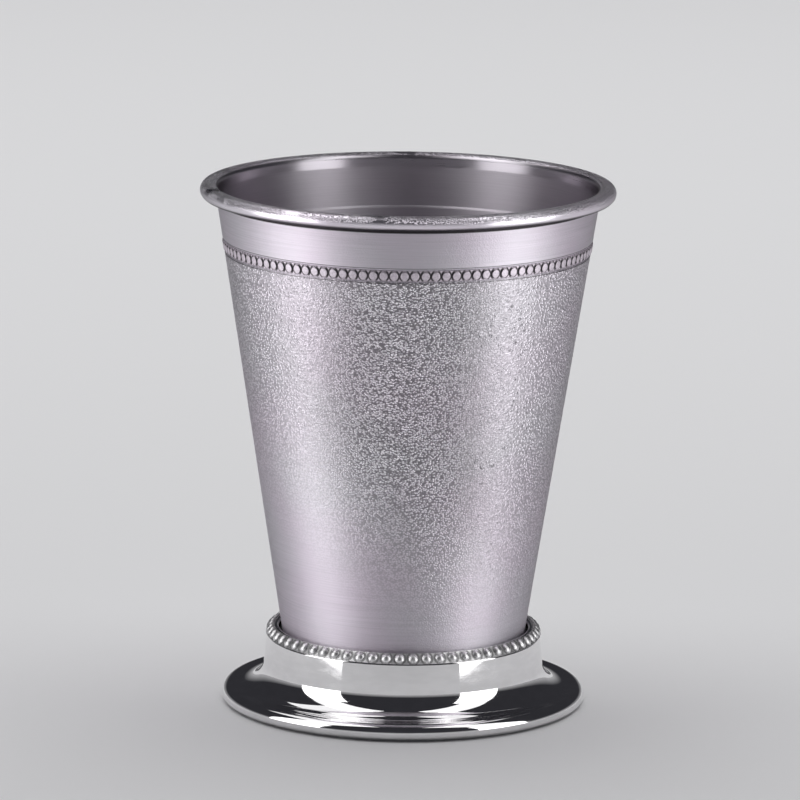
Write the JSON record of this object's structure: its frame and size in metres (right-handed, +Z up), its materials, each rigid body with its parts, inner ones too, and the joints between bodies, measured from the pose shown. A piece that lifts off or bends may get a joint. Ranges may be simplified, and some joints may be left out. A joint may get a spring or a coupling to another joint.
{
  "type": "footed julep cup",
  "caption": "Tapered metal drinking cup with a rolled rim, a beaded band below it, and a hollow flared foot with a beaded shoulder and a rolled edge.",
  "frame": {"origin": "centre of the ring that the foot stands on, at the level of the table", "axes": "+Z up along the axis of the cup, from the foot to the rim; X and Y lie in the table"},
  "size_m": [0.09, 0.09, 0.1144],
  "materials": {
    "satin_steel": "satin, fine brushed, with fine dew",
    "beading_steel": "semi-bright",
    "mirror_steel": "mirror polished",
    "braze": "as brazed"
  },
  "bodies": {
    "root": {"cup_body": "satin_steel", "upper_beading": "beading_steel", "foot": "mirror_steel", "foot_beading": "beading_steel", "braze_ring": "braze"}
  },
  "joints": []
}
